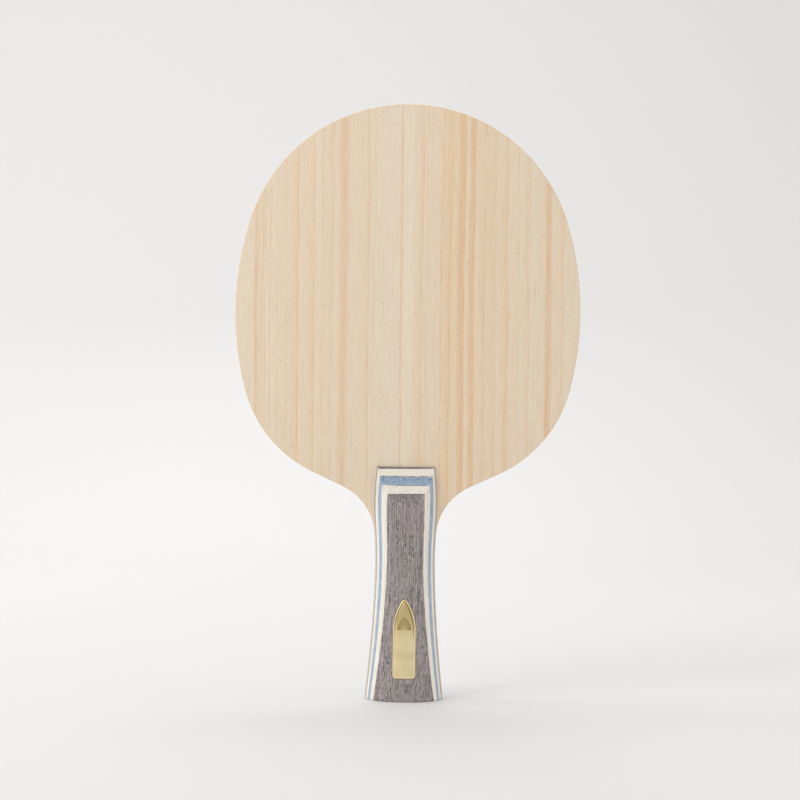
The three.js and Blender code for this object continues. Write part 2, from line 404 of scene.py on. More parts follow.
class BLADE_OT_plies(bpy.types.Operator):
    """Make the seven plies of the blade, which run full length into the handle"""

    bl_idname = "blade.plies"
    bl_label = "Plies"

    def execute(self, context):
        blade, handle = context.scene.blade_sizes, context.scene.handle_sizes
        looks = {
            "inner_veneer": [sliced_inner_veneer()],
            "fibre_layer": [fibre_in_resin()],
            "face_veneer": [sliced_face_veneer(), sanded_rim()],
        }
        points, faces, _ = ply_mesh(blade, handle, -CORE_DEPTH, CORE_DEPTH, 1, False)
        new_piece("core", points, faces, [light_core_wood()], "core_ply")
        for side, facing in (("front", -1), ("back", 1)):
            for kind, slot in PLIES:
                node = f"{side}_{kind}"
                inner, outer = depth_range(node)
                rounded = kind == "face_veneer"
                points, faces, rim = ply_mesh(blade, handle, inner, outer, facing, rounded)
                new_piece(f"{side}_{kind.split('_')[0]}_ply", points, faces, looks[kind],
                          node, choose=(lambda i, rim=rim: int(i in rim)) if rounded else None)
        return {"FINISHED"}


# ---- Handle scales ----

# Points up the sides of a scale, along its top end, through a veneer and over the crown.
SCALE_ROWS = 120
END_COLUMNS = 110
VENEER_LEVELS = 5
CROWN_COLUMNS = 64
END_SOFTNESS = 0.12 * MM

# A glue line wanders in slow waves, this long across and along the handle, with quicker
# ones on them. It is calmer along the sides than on the bevelled end.
WAVE_ACROSS = 2.2 * MM
WAVE_ALONG = 9 * MM
QUICKER = 3.3
SLOW_SHARE = 0.4
QUICK_SHARE = 2.4
CALM_BELOW = 3 * MM
SIDE_WANDER = 0.35
SEED_PER_MM = 7.3
QUICK_SEED = 9
BACK_SEED = 51


def glue_line(handle, side, level, x, z):
    """The depth of a glue line, which wanders from its plane, most on the bevelled end."""
    if level == BLADE_DEPTH:
        return level
    seed = SEED_PER_MM * level / MM + (0 if side == "front" else BACK_SEED)
    slow = noise.noise(Vector((x / WAVE_ACROSS, z / WAVE_ALONG, seed)))
    quick = noise.noise(Vector((QUICKER * x / WAVE_ACROSS, QUICKER * z / WAVE_ALONG, seed + QUICK_SEED)))
    share = SIDE_WANDER + (1 - SIDE_WANDER) * smooth(z, CROWN_TOP - CALM_BELOW, CROWN_TOP)
    return level + handle.waviness * share * (SLOW_SHARE * slow + QUICK_SHARE * quick)


def row_share(i):
    """A row's share of the height. Rows lie closer together towards a scale's two ends."""
    return (1 - math.cos(math.pi * i / SCALE_ROWS)) / 2


def veneer_loop(handle, side, facing, level_in, level_out, share):
    """A closed loop round one veneer of a scale, at a share of its thickness."""
    def depth(x, z):
        low = glue_line(handle, side, level_in, x, z)
        return low + (glue_line(handle, side, level_out, x, z) - low) * share

    level = level_in + (level_out - level_in) * share
    top = end_height(level)
    right, left = [], []
    for i in range(SCALE_ROWS + 1):
        z = top * row_share(i)
        for sign, points in ((1, right), (-1, left)):
            y = depth(sign * section_x(handle, z, level), z)
            height = z * end_height(y) / top
            points.append(Vector((sign * section_x(handle, height, y), facing * y, height)))
    middle = []
    for j in range(1, END_COLUMNS):
        x = section_x(handle, top, level) * (1 - 2 * j / END_COLUMNS)
        y = depth(x, top)
        middle.append(Vector((x, facing * y, end_height(y))))
    return right + middle + left[::-1]


def veneer_mesh(handle, side, facing, level_in, level_out):
    """A veneer of a scale: loops through its thickness, closed by its two glued faces."""
    points, faces = [], []
    for k in range(VENEER_LEVELS + 1):
        points += veneer_loop(handle, side, facing, level_in, level_out, k / VENEER_LEVELS)
    count = 2 * (SCALE_ROWS + 1) + END_COLUMNS - 1
    join_rings(count, VENEER_LEVELS + 1, faces)
    for start in (0, VENEER_LEVELS * count):
        for i in range(SCALE_ROWS - 1):
            far = start + count - 1 - i
            faces.append((start + i, start + i + 1, far - 1, far))
        faces.append(tuple(range(start + SCALE_ROWS - 1, start + count - SCALE_ROWS + 1)))
    return points, faces


def add_sheets(rows, columns, base, faces):
    """Adds the quads of two sheets of points, row by row, the second starting at base."""
    count = columns + 1
    for i in range(rows):
        for j in range(columns):
            a = i * count + j
            faces.append((a, a + 1, a + 1 + count, a + count))
            faces.append((base + a, base + a + 1, base + a + 1 + count, base + a + count))


def soft_least(a, b, softness):
    """The smaller of two depths, with the crease between them eased."""
    return min(a, b) - softness * math.log1p(math.exp(-abs(a - b) / softness))


def crown_mesh(handle, side, facing):
    """The crown: a flat glued face under a curved face that ends in the bevel."""
    end = end_height(CROWN_DEPTH)
    end_edge = section_x(handle, end, CROWN_DEPTH)
    curved, glued = [], []
    for i in range(SCALE_ROWS + 1):
        for j in range(CROWN_COLUMNS + 1):
            part = math.cos(math.pi * j / CROWN_COLUMNS)
            # The top row follows the glue line where the bevel cuts it.
            top = end_height(glue_line(handle, side, CROWN_DEPTH, part * end_edge, end))
            z = top * row_share(i)
            # The side edge follows the glue line where the section cuts it.
            edge = math.copysign(section_x(handle, z, CROWN_DEPTH), part)
            x = part * section_x(handle, z, glue_line(handle, side, CROWN_DEPTH, edge, z))
            low = glue_line(handle, side, CROWN_DEPTH, x, z)
            bevel = BEVEL_DEPTH + (BEVEL_TOP - z) * BEVEL_SLOPE
            high = max(low, soft_least(section_y(handle, z, x), bevel, END_SOFTNESS))
            on_edge = j in (0, CROWN_COLUMNS) or i == SCALE_ROWS
            curved.append(Vector((x, facing * (low if on_edge else high), z)))
            glued.append(Vector((x, facing * low, z)))
    base = len(curved)
    faces = []
    add_sheets(SCALE_ROWS, CROWN_COLUMNS, base, faces)
    for j in range(CROWN_COLUMNS):
        faces.append((j, j + 1, base + j + 1, base + j))
    return curved + glued, faces


WELD_DISTANCE = 0.0001 * MM


def weld(piece):
    """Merges the points that lie on each other, and drops faces with no area."""
    work = bmesh.new()
    work.from_mesh(piece.data)
    bmesh.ops.remove_doubles(work, verts=work.verts, dist=WELD_DISTANCE)
    bmesh.ops.dissolve_degenerate(work, edges=work.edges, dist=WELD_DISTANCE)
    bmesh.ops.recalc_face_normals(work, faces=work.faces)
    work.to_mesh(piece.data)
    work.free()


def cut_away(piece, cutter):
    """Subtracts a closed cutter from a piece, and leaves no modifier on it."""
    modifier = piece.modifiers.new("pocket", "BOOLEAN")
    modifier.operation = "DIFFERENCE"
    modifier.solver = "EXACT"
    modifier.object = cutter
    bpy.context.view_layer.update()
    shown = piece.evaluated_get(bpy.context.evaluated_depsgraph_get())
    result = bpy.data.meshes.new_from_object(shown)
    piece.modifiers.clear()
    piece.data = result
    bpy.data.objects.remove(cutter)


# How far the base veneer's dye is sanded away at its side.
SANDED_THROUGH = 0.4
SCALE_VENEERS = (
    ("base_veneer", "grey_dyed_wood"),
    ("outer_cream_veneer", "cream_wood"),
    ("blue_veneer", "blue_dyed_wood"),
    ("inner_cream_veneer", "cream_wood"),
)


class BLADE_OT_scales(bpy.types.Operator):
    """Make the five veneers of the handle scale on each side of the tang"""

    bl_idname = "blade.scales"
    bl_label = "Handle scales"

    def execute(self, context):
        handle, badge = context.scene.handle_sizes, context.scene.badge_sizes
        looks = {
            "grey_dyed_wood": grey_dyed_veneer(),
            "cream_wood": bleached_veneer(),
            "blue_dyed_wood": blue_dyed_veneer(),
        }
        thin = grey_dyed_veneer("thin_grey_dyed_veneer", SANDED_THROUGH)
        for side, facing in (("front", -1), ("back", 1)):
            for kind, slot in SCALE_VENEERS:
                node = f"{side}_handle_{kind}"
                inner, outer = depth_range(node)
                points, faces = veneer_mesh(handle, side, facing, inner, outer)
                look = thin if kind == "base_veneer" else looks[slot]
                new_piece(f"{side}_scale_{kind.removesuffix('_veneer')}", points, faces, [look],
                          node, SCALE_SHARP)
            points, faces = crown_mesh(handle, side, facing)
            crown = new_piece(f"{side}_scale_crown", points, faces, [looks["grey_dyed_wood"]],
                              f"{side}_handle_crown", SCALE_SHARP)
            weld(crown)
            if side == "front":
                cut_away(crown, pocket_cutter(badge))
            shade(crown.data, SCALE_SHARP)
        return {"FINISHED"}


# ---- Badge ----

# Points up and across the badge's face, close enough for its relief.
BADGE_ROWS = 330
BADGE_COLUMNS = 96


def badge_arch(badge, grow):
    """The arch's centre offset, reach, spring height and tip centre, grown all round."""
    half = BADGE_HIGH.x + grow
    arch, tip = badge.arch_radius + grow, badge.tip_radius + grow
    tip_centre = BADGE_HIGH.z - badge.tip_radius
    rise = math.sqrt((arch - tip) ** 2 - (arch - half) ** 2)
    return half, arch, tip, tip_centre, tip_centre - rise


def badge_half_width(badge, z):
    """Half of the badge's width at height z."""
    half, arch, tip, tip_centre, spring = badge_arch(badge, 0)
    corner = badge.corner_radius
    above = z - BADGE_LOW.z
    if above < corner:
        return half - corner + math.sqrt(max(0, corner ** 2 - (corner - above) ** 2))
    if z <= spring:
        return half
    turn = math.atan2(tip_centre - spring, arch - half)
    if z < tip_centre + tip * math.sin(turn):
        return half - arch + math.sqrt(arch ** 2 - (z - spring) ** 2)
    return math.sqrt(max(0, tip ** 2 - (z - tip_centre) ** 2))


def edge_distance(badge, x, z):
    """How far a point of the badge lies inside its outline."""
    half, arch, tip, tip_centre, spring = badge_arch(badge, 0)
    x = abs(x)
    corner = badge.corner_radius
    low = z - BADGE_LOW.z
    if x > half - corner and low < corner:
        return corner - math.hypot(x - half + corner, corner - low)
    if z <= spring:
        return min(half - x, low)
    side = arch - math.hypot(x + arch - half, z - spring)
    turn = math.atan2(tip_centre - spring, arch - half)
    if math.atan2(z - tip_centre, x) > turn:
        return min(side, tip - math.hypot(x, z - tip_centre))
    return min(side, low)


def pocket_outline(badge, grow):
    """The badge's outline grown all round, from its lower right corner round to the left."""
    half, arch, tip, tip_centre, spring = badge_arch(badge, grow)
    corner = badge.corner_radius + grow
    low = BADGE_LOW.z - grow
    turn = math.atan2(tip_centre - spring, arch - half)
    right = arc_points((half - corner, low + corner), corner, -math.pi / 2, math.pi / 2)
    right += arc_points((half - arch, spring), arch, 0, turn)
    right += arc_points((0, tip_centre), tip, turn, math.pi / 2 - turn)
    left = [(-x, z) for x, z in reversed(right)]
    return right + [(0, tip_centre + tip)] + left


def pocket_cutter(badge):
    """The pocket as a closed block, from its floor to beyond the crown's face."""
    outline = pocket_outline(badge, badge.clearance)
    floor = -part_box("badge_adhesive_pad")[1].y
    points = [Vector((x, -y, z)) for y in (floor, 2 * floor) for x, z in outline]
    faces = []
    join_rings(len(outline), 2, faces)
    faces.append(tuple(range(len(outline))))
    faces.append(tuple(range(len(outline), 2 * len(outline))))
    mesh = bpy.data.meshes.new("pocket_block")
    mesh.from_pydata([tuple(p) for p in points], [], faces)
    turn_outwards(mesh)
    block = bpy.data.objects.new("pocket_block", mesh)
    bpy.context.scene.collection.objects.link(block)
    return block


# Sizes on the badge's face. Heights are from the bottom of the badge.
RIM_WIDTH = 0.35 * MM
RIM_EDGE = 0.25 * MM
PANEL_DEPTH = 0.12 * MM
ARCH_DEPTH = 0.16 * MM
GROOVE_IN = 0.9 * MM
GROOVE_WIDTH = 0.26 * MM
GROOVE_DEPTH = 0.03 * MM
ARCH_GROOVE_DEPTH = 0.15 * MM
NICHE_FOOT = 20.5 * MM
NICHE_TIP = 26.4 * MM
NICHE_HALF = 3.2 * MM
NICHE_DEPTH = 0.3 * MM
NICHE_EDGE = 0.25 * MM
NICHE_STEP = 0.4 * MM
NICHE_BOW = 0.8
TIP_SHALLOWNESS = 0.35
BAND_LOW = 7.7 * MM
BAND_HIGH = 11.1 * MM
BAND_HALF = 4.5 * MM
BAND_DEPTH = 0.12 * MM
BAND_EDGE = 0.2 * MM
BAND_LINES = 5
LINE_MARGIN = 0.3 * MM
LINE_HALF, LINE_FOOT = 0.1, 0.3

# How strongly shade is painted at each place, as shares.
BADGE_SHADE_ATTRIBUTE = "painted_badge_shade"
ARCH_SHADE = 0.5
GROOVE_SHADE_LEFT, GROOVE_SHADE_MORE = 0.25, 0.45
NICHE_SHADE, CORNER_SHADE = 0.3, 0.45
BAND_SHADE = 0.1


def groove_share(d):
    """How fully a place lies in the groove that runs inside the rim."""
    return math.exp(-((d - GROOVE_IN) / GROOVE_WIDTH) ** 2)


def niche_share(x, above):
    """How fully a place lies in the pointed niche, and how far down the niche it is."""
    down = (NICHE_TIP - above) / (NICHE_TIP - NICHE_FOOT)
    if not 0 < down < 1:
        return 0, 0
    edge = NICHE_HALF * math.sin(math.pi / 2 * down ** NICHE_BOW) - abs(x)
    foot = smooth(above - NICHE_FOOT, 0, NICHE_STEP)
    return smooth(edge, 0, NICHE_EDGE) * foot, down


def band_inset(x, above):
    """How far inside the band's outline a place lies, below 0 outside it."""
    return min(above - BAND_LOW, BAND_HIGH - above, BAND_HALF - abs(x))


def badge_relief(badge, x, z):
    """How far the badge's face stands above or below the crown's curve."""
    d = edge_distance(badge, x, z)
    above = z - BADGE_LOW.z
    spring = badge_arch(badge, 0)[4] - BADGE_LOW.z
    height = smooth(d, 0, RIM_EDGE) * badge.proud
    arch_share = smooth(above, spring - 9 * MM, spring + 2 * MM)
    panel = PANEL_DEPTH + ARCH_DEPTH * arch_share
    height -= smooth(d, RIM_WIDTH, 2 * RIM_WIDTH) * panel
    height -= groove_share(d) * (GROOVE_DEPTH + ARCH_GROOVE_DEPTH * arch_share)
    inside, down = niche_share(x, above)
    height -= inside * NICHE_DEPTH * (TIP_SHALLOWNESS + (1 - TIP_SHALLOWNESS) * down)
    inset = band_inset(x, above)
    if inset > 0:
        height -= smooth(inset, 0, BAND_EDGE) * BAND_DEPTH
        count = (above - BAND_LOW) / (BAND_HIGH - BAND_LOW) * (BAND_LINES + 1)
        ridge = 1 - smooth(abs(count - round(count)), LINE_HALF, LINE_FOOT)
        height += smooth(inset, LINE_MARGIN, 2 * LINE_MARGIN) * BAND_DEPTH / 2 * ridge
    return height


def painted_badge_shade(badge, x, z):
    """Painted shade on the badge: deeper gold over the arch, partly its own tone and partly painted
    shade, and painted shade in the band, the groove (more on the right) and the niche, most in its lower
    corners.
    """
    d = edge_distance(badge, x, z)
    above = z - BADGE_LOW.z
    spring = badge_arch(badge, 0)[4] - BADGE_LOW.z
    arch_share = smooth(above, spring - 4 * MM, spring + 7 * MM)
    tone = ARCH_SHADE * arch_share * smooth(d, RIM_WIDTH, 2 * RIM_WIDTH)
    # Painted shade in the groove: darker on the right than on the left.
    side = GROOVE_SHADE_LEFT + GROOVE_SHADE_MORE * smooth(x, 0, NICHE_HALF)
    tone += side * groove_share(d) * smooth(above, spring - 6 * MM, spring + 2 * MM)
    # Painted shade in the niche, darkest low down at its sides.
    inside, down = niche_share(x, above)
    corner = smooth(abs(x), 0, NICHE_HALF)
    tone += inside * (NICHE_SHADE + CORNER_SHADE * down * corner)
    if band_inset(x, above) > 0:
        tone += BAND_SHADE
    return min(1, tone)


def badge_mesh(handle, badge):
    """The badge: a modelled face over a flat back, with rows closer together at the ends."""
    face = []
    count = BADGE_COLUMNS + 1
    for i in range(BADGE_ROWS + 1):
        share = (1 - math.cos(math.pi * i / BADGE_ROWS)) / 2
        z = BADGE_LOW.z + (BADGE_HIGH.z - BADGE_LOW.z) * share
        for j in range(count):
            x = badge_half_width(badge, z) * (1 - 2 * j / BADGE_COLUMNS)
            y = section_y(handle, z, x) + badge_relief(badge, x, z)
            face.append(Vector((x, -y, z)))
    back = [Vector((p.x, -BADGE_BACK, p.z)) for p in face]
    base = len(face)
    faces = []
    add_sheets(BADGE_ROWS, BADGE_COLUMNS, base, faces)
    for i in range(BADGE_ROWS):
        for a in (i * count, i * count + BADGE_COLUMNS):
            faces.append((a, a + count, base + a + count, base + a))
    for start in (0, BADGE_ROWS * count):
        for a in range(start, start + BADGE_COLUMNS):
            faces.append((a, a + 1, base + a + 1, base + a))
    return face + back, faces


class BLADE_OT_badge(bpy.types.Operator):
    """Make the badge, and give the adhesive pad under it its finish"""

    bl_idname = "blade.badge"
    bl_label = "Badge"

    def execute(self, context):
        handle, badge = context.scene.handle_sizes, context.scene.badge_sizes
        points, faces = badge_mesh(handle, badge)
        piece = new_piece("badge_plate", points, faces, [plated_casting()], "badge")
        # The painted shade of the badge's hollows is stored on its points.
        shade_values = piece.data.attributes.new(BADGE_SHADE_ATTRIBUTE, "FLOAT", "POINT")
        for point, vertex in zip(shade_values.data, piece.data.vertices):
            point.value = painted_badge_shade(badge, vertex.co.x, vertex.co.z)
        weld(piece)
        shade(piece.data, BADGE_SHARP)
        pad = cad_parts["badge_adhesive_pad"]
        pad.data.materials.clear()
        pad.data.materials.append(foam_tape())
        return {"FINISHED"}


# ---- Materials ----

MIX_FACTOR, MIX_A, MIX_B, MIX_OUT = 0, 6, 7, 2


def add_node(tree, kind, settings=None, inputs=None, output=0):
    """Adds a node with its settings, sets or links its inputs, and returns an output."""
    node = tree.nodes.new(kind)
    for name, value in (settings or {}).items():
        setattr(node, name, value)
    for name, value in (inputs or {}).items():
        if isinstance(value, bpy.types.NodeSocket):
            tree.links.new(value, node.inputs[name])
        else:
            node.inputs[name].default_value = value
    return node.outputs[output]


def rgba(values):
    """A colour as a node's socket takes it, with full opacity."""
    return (*values, 1)


def sums(tree, operation, first, second=0.0, third=0.0):
    """A sum of one to three values, by the name of its operation."""
    return add_node(tree, "ShaderNodeMath", {"operation": operation}, {0: first, 1: second, 2: third})


def blend_colours(tree, share, first, second, mode="MIX"):
    """The first colour with a share of the second blended in."""
    return add_node(tree, "ShaderNodeMix", {"data_type": "RGBA", "blend_type": mode},
                    {MIX_FACTOR: share, MIX_A: first, MIX_B: second}, MIX_OUT)


def ramp_value(tree, value, low, high, to_low=0.0, to_high=1.0):
    """A value that runs from to_low to to_high while another runs from low to high."""
    return add_node(tree, "ShaderNodeMapRange", {"interpolation_type": "SMOOTHSTEP"},
                    {0: value, 1: low, 2: high, 3: to_low, 4: to_high})


def grain(tree, place, across, along, detail=2.0, shift=0.0):
    """Noise drawn out along the handle's length: across and along are its real spacings."""
    scaled = add_node(tree, "ShaderNodeVectorMath", {"operation": "MULTIPLY"},
                      {0: place, 1: (1 / across, 1 / across, 1 / along)})
    moved = add_node(tree, "ShaderNodeVectorMath", {"operation": "ADD"},
                     {0: scaled, 1: (shift, shift / 2, shift / 3)})
    return add_node(tree, "ShaderNodeTexNoise", {"noise_dimensions": "3D"},
                    {"Vector": moved, "Scale": 1.0, "Detail": detail, "Roughness": 0.55})


def new_material(name):
    """A material with a Principled shader, its node tree and the object's own places."""
    material = bpy.data.materials.new(name)
    material.use_nodes = True
    tree = material.node_tree
    shader = next(n for n in tree.nodes if n.type == "BSDF_PRINCIPLED")
    place = tree.nodes.new("ShaderNodeTexCoord").outputs["Object"]
    return material, tree, shader, place


def tinted(tree, shown, tint):
    """A colour made lighter or darker by the same factor in red, green and blue."""
    grey = add_node(tree, "ShaderNodeCombineColor", None, {0: tint, 1: tint, 2: tint})
    return blend_colours(tree, 1.0, shown, grey, "MULTIPLY")


def add_relief(tree, shader, height, depth, strength=1.0):
    """Gives the shader a relief of a real depth."""
    bump = add_node(tree, "ShaderNodeBump", None,
                    {"Height": height, "Distance": depth, "Strength": strength})
    tree.links.new(bump, shader.inputs["Normal"])


def set_plain(shader, **values):
    """Sets what is the same all over a surface on the shader's own sockets."""
    for name, value in values.items():
        shader.inputs[name.replace("_", " ")].default_value = value


def finish(tree, shader, shown, pattern, smoothest, roughest):
    """Links the colour, and a roughness that follows a pattern, to the shader."""
    tree.links.new(shown, shader.inputs["Base Color"])
    rough = ramp_value(tree, pattern, 0.3, 0.7, smoothest, roughest)
    tree.links.new(rough, shader.inputs["Roughness"])


WOOD_IOR = 1.5
BARE_GLOSS = 0.35
DYED_GLOSS = 0.4

# Bold growth bands of the face veneer, in mm: how far each lies from the middle, its
# width and how strong it is.
BOLD_BANDS = (
    (-66, 1.2, 0.8),
    (-28, 4, 0.6),
    (-3, 0.7, 0.9),
    (23, 2.4, 0.9),
    (27.5, 2, 1),
    (61, 2.4, 0.9),
)

# How far the face veneer's lines wander, slowly and quickly, and how far crowding moves
# its rings, in mm.
SLOW_WANDER, QUICK_WANDER, CROWDING = 1.4, 0.7, 9.0

# The width in mm of the line that ends a ring, and how quickly a ring darkens to it.
RING_LINE, RING_GATHER = 0.42, 2.2

# How strongly each part of the face veneer's figure shows.
RING_SHARE, BAND_SHARE, LINE_SHARE = 0.64, 0.62, 0.7
FINE_RING_SHARE, FINE_LINE_SHARE = 0.6, 0.7
FLUSH_SHARE, WARM_SHARE, PALE_SHARE = 0.24, 0.20, 0.16
THREAD_SHARE, PORE_SHARE, FLECK_SHARE = 0.22, 0.5, 0.5


def band_share(tree, across, centre, width, strength):
    """How much a band shows at a distance across the head, with a soft edge."""
    distance = sums(tree, "ABSOLUTE", sums(tree, "SUBTRACT", across, centre))
    return ramp_value(tree, distance, 0.35 * width, 0.75 * width, strength, 0.0)


def growth_rings(tree, across, pitch, shift, least):
    """Rings about pitch mm wide that darken towards a sharp end: their tone and end line."""
    count = sums(tree, "MULTIPLY_ADD", across, 1 / pitch, shift)
    part = sums(tree, "FRACT", count)
    chance = add_node(tree, "ShaderNodeTexWhiteNoise", {"noise_dimensions": "1D"},
                      {"W": sums(tree, "FLOOR", count)})
    strength = ramp_value(tree, chance, least, 1.0)
    tone = sums(tree, "MULTIPLY", sums(tree, "POWER", part, RING_GATHER), strength)
    line = ramp_value(tree, part, 1 - RING_LINE / pitch, 1 - RING_LINE / pitch / 2)
    return tone, sums(tree, "MULTIPLY", line, strength)


def distance_across(tree, place):
    """The distance across the head in mm, with a small wander along its length."""
    axes = add_node(tree, "ShaderNodeSeparateXYZ", None, {0: place})
    slow = sums(tree, "SUBTRACT", grain(tree, place, 30 * MM, 60 * MM, 1.0, 3.1), 0.5)
    quick = sums(tree, "SUBTRACT", grain(tree, place, 3 * MM, 8 * MM, 1.0, 8.2), 0.5)
    across = sums(tree, "MULTIPLY_ADD", slow, SLOW_WANDER, sums(tree, "MULTIPLY", axes, 1 / MM))
    return sums(tree, "MULTIPLY_ADD", quick, QUICK_WANDER, across)


def ring_figure(tree, place, across):
    """Wide rings with fine ones between them: their tone, and the lines that end them."""
    # Rings lie closer together in some places than in others.
    crowding = sums(tree, "SUBTRACT", grain(tree, place, 14 * MM, 900 * MM, 0.0, 6.6), 0.5)
    crowded = sums(tree, "MULTIPLY_ADD", crowding, CROWDING, across)
    wide_tone, wide_line = growth_rings(tree, crowded, pitch=6.3, shift=0.37, least=0.1)
    fine_tone, fine_line = growth_rings(tree, crowded, pitch=2.1, shift=0.71, least=0.45)
    tone = sums(tree, "MAXIMUM", wide_tone, sums(tree, "MULTIPLY", fine_tone, FINE_RING_SHARE))
    lines = sums(tree, "MAXIMUM", wide_line, sums(tree, "MULTIPLY", fine_line, FINE_LINE_SHARE))
    return tone, lines


def bold_figure(tree, across):
    """How much of a bold band shows, whichever is strongest."""
    bold = 0.0
    for centre, width, strength in BOLD_BANDS:
        bold = sums(tree, "MAXIMUM", bold, band_share(tree, across, centre, width, strength))
    return bold


def sliced_face_veneer():
    """Pale straight-grained wood, sliced along the grain and sanded: soft, low gloss."""
    colours = bpy.context.scene.finish_colours
    material, tree, shader, place = new_material("sliced_face_veneer")
    across = distance_across(tree, place)
    tone, lines = ring_figure(tree, place, across)
    fading = ramp_value(tree, grain(tree, place, 0.9 * MM, 18 * MM, 2.0, 6.4), 0.36, 0.62, 0.2, 1.0)
    fibres = grain(tree, place, 0.4 * MM, 14 * MM, 2.0, 1.7)
    fibre_share = ramp_value(tree, fibres, 0.34, 0.66)
    # A flush 10 to 20 mm wide comes and goes across the head, and one broad band is warm.
    blush = grain(tree, place, 9 * MM, 400 * MM, 0.0, 2.9)
    flush = ramp_value(tree, blush, 0.40, 0.70, 0.0, FLUSH_SHARE)
    shown = blend_colours(tree, flush, rgba(colours.veneer), rgba(colours.flush))
    warm = band_share(tree, across, centre=24, width=20, strength=WARM_SHARE)
    shown = blend_colours(tree, warm, shown, rgba(colours.ring))
    # The rings, the bold bands and the end lines, each broken up by the fibres.
    tone = sums(tree, "MULTIPLY", tone, sums(tree, "MULTIPLY_ADD", fibre_share, 0.35, 0.55))
    shown = blend_colours(tree, sums(tree, "MULTIPLY", tone, RING_SHARE), shown, rgba(colours.ring))
    bold_fading = sums(tree, "MULTIPLY_ADD", fading, 0.5, 0.5)
    bold = sums(tree, "MULTIPLY", bold_figure(tree, across), bold_fading)
    bold = sums(tree, "MULTIPLY", bold, sums(tree, "MULTIPLY_ADD", fibre_share, 0.45, 0.5))
    shown = blend_colours(tree, sums(tree, "MULTIPLY", bold, BAND_SHARE), shown, rgba(colours.streak))
    lines = sums(tree, "MULTIPLY", lines, fading)
    shown = blend_colours(tree, sums(tree, "MULTIPLY", lines, LINE_SHARE), shown, rgba(colours.streak))
    # A pale strip runs up the middle.
    strip = band_share(tree, across, centre=0, width=4, strength=PALE_SHARE)
    shown = blend_colours(tree, strip, shown, rgba(colours.fleck))
    shown = tinted(tree, shown, ramp_value(tree, fibres, 0.28, 0.72, 0.965, 1.03))
    # Orange fibres about 10 mm long lie all over, and pores are short dashes, drawn 0.25 mm
    # wide: real ones are half of that.
    threads = grain(tree, place, 0.3 * MM, 11 * MM, 1.0, 52.0)
    thread_share = ramp_value(tree, threads, 0.54, 0.72, 0.0, THREAD_SHARE)
    shown = blend_colours(tree, thread_share, shown, rgba(colours.streak))
    dashes = ramp_value(tree, grain(tree, place, 0.24 * MM, 1.5 * MM, 0.0, 12.0), 0.64, 0.78)
    lanes = ramp_value(tree, grain(tree, place, 1.4 * MM, 14 * MM, 1.0, 4.2), 0.40, 0.62, 0.1, 1.0)
    pores = sums(tree, "MULTIPLY", dashes, lanes)
    shown = blend_colours(tree, sums(tree, "MULTIPLY", pores, PORE_SHARE), shown, rgba(colours.pore))
    rays = grain(tree, place, 0.25 * MM, 0.8 * MM, 0.0, 37.0)
    flecks = ramp_value(tree, rays, 0.68, 0.78, 0.0, FLECK_SHARE)
    shown = blend_colours(tree, flecks, shown, rgba(colours.fleck))
    finish(tree, shader, shown, fibres, 0.66, 0.58)
    set_plain(shader, IOR=WOOD_IOR, Specular_IOR_Level=BARE_GLOSS)
    height = sums(tree, "SUBTRACT", sums(tree, "MULTIPLY", fibres, 0.5), pores)
    add_relief(tree, shader, height, 0.05 * MM, 0.5)
    return material


def sealed_tang(tree, place, shown):
    """Blends in the paler, greyer edge that the plies have beside the handle."""
    foot = bpy.context.scene.blade_sizes.wing_foot
    height = add_node(tree, "ShaderNodeSeparateXYZ", None, {0: place}, 2)
    beside = ramp_value(tree, height, foot, foot + 8 * MM, 0.85, 0.0)
    return blend_colours(tree, beside, shown, rgba(bpy.context.scene.finish_colours.tang_edge))


def sanded_rim():
    """The face veneer where sanding has rounded it over: warmer, and a little burnished."""
    colours = bpy.context.scene.finish_colours
    material, tree, shader, place = new_material("sanded_veneer_rim")
    speckle = grain(tree, place, 0.5 * MM, 1.5 * MM, 2.0, 2.0)
    speckle_share = ramp_value(tree, speckle, 0.3, 0.7)
    shown = blend_colours(tree, speckle_share, rgba(colours.veneer), rgba(colours.rim))
    finish(tree, shader, sealed_tang(tree, place, shown), speckle, 0.50, 0.6)
    add_relief(tree, shader, speckle, 0.04 * MM, 0.4)
    return material


def edge_grained(name, pale, dark, across, along, rough, sealed=False):
    """A layer that shows only as a sanded edge."""
    material, tree, shader, place = new_material(name)
    lines = grain(tree, place, across, along, 3.0, 1.0)
    shown = blend_colours(tree, ramp_value(tree, lines, 0.3, 0.7), rgba(pale), rgba(dark))
    if sealed:
        shown = sealed_tang(tree, place, shown)
    finish(tree, shader, shown, lines, rough, rough + 0.1)
    add_relief(tree, shader, lines, 0.05 * MM, 0.5)
    return material


def sliced_inner_veneer():
    """A warmer, coarser wood under the fibre, which shows as a tan line at the rim."""
    colours = bpy.context.scene.finish_colours
    return edge_grained("sliced_inner_veneer", colours.inner_wood, colours.inner_line,
                        0.4 * MM, 2 * MM, 0.6, sealed=True)


def light_core_wood():
    """Light, open-grained core wood, sanded at the rim: pale, with fine tube ends."""
    colours = bpy.context.scene.finish_colours
    return edge_grained("light_core_wood", colours.core_wood, colours.core_line,
                        0.5 * MM, 3 * MM, 0.68, sealed=True)


def fibre_in_resin():
    """Woven fibre set in resin, which shows as a dark, slightly glossy line at the rim."""
    colours = bpy.context.scene.finish_colours
    return edge_grained("fibre_in_resin", colours.fibre, colours.fibre_line, 0.3 * MM, 0.6 * MM, 0.38)


def end_grain_share(tree):
    """How squarely the fibres, which run along Z, are cut by the surface."""
    normal = add_node(tree, "ShaderNodeNewGeometry", output=1)
    height = add_node(tree, "ShaderNodeSeparateXYZ", None, {0: normal}, 2)
    return ramp_value(tree, sums(tree, "ABSOLUTE", height), 0.18, 0.42)


